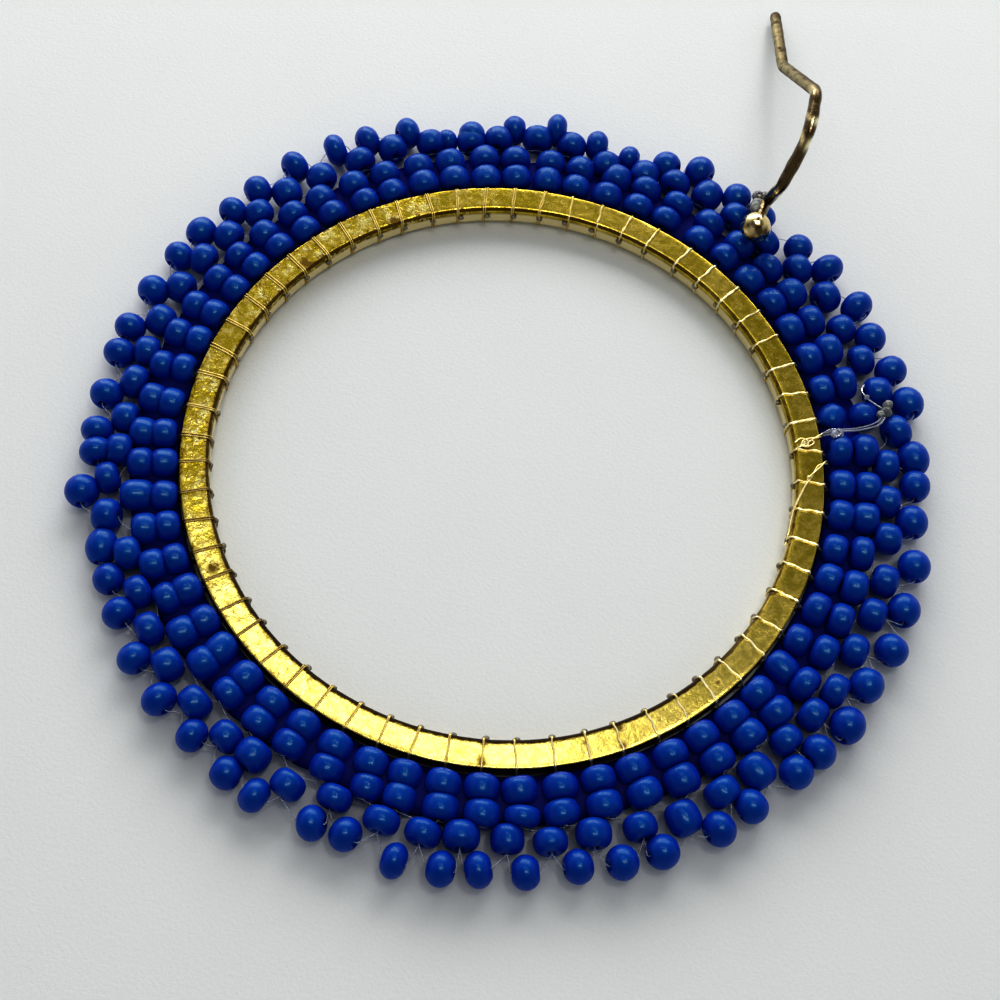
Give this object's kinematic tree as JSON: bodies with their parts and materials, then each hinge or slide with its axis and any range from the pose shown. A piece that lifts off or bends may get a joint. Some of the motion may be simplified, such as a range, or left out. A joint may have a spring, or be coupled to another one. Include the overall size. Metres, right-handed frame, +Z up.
{
  "type": "seed bead hoop earring",
  "caption": "Gold plated metal hoop with stitched rows of blue glass seed beads round it, a beaded scalloped edge and a ball ended ear wire.",
  "frame": {"origin": "middle of the bounding box, on the surface that the earring lies on", "axes": "+Z up out of the hoop's plane, +Y along the longest side, towards the ear wire's tip, +X to the right of it"},
  "size_m": [0.0534, 0.066, 0.0081],
  "materials": {
    "hoop_metal": "worn gold plating, glossy, with brown stains",
    "seed_bead": "opaque cobalt glass, glossy",
    "wire_metal": "polished, dull at the tail",
    "thread": "clear nylon thread",
    "glue": "hardened clear glue on knots"
  },
  "bodies": {
    "root": {"hoop": "hoop_metal", "bead_band": "seed_bead", "picot_edge": "seed_bead", "ear_wire": "wire_metal"}
  },
  "joints": []
}
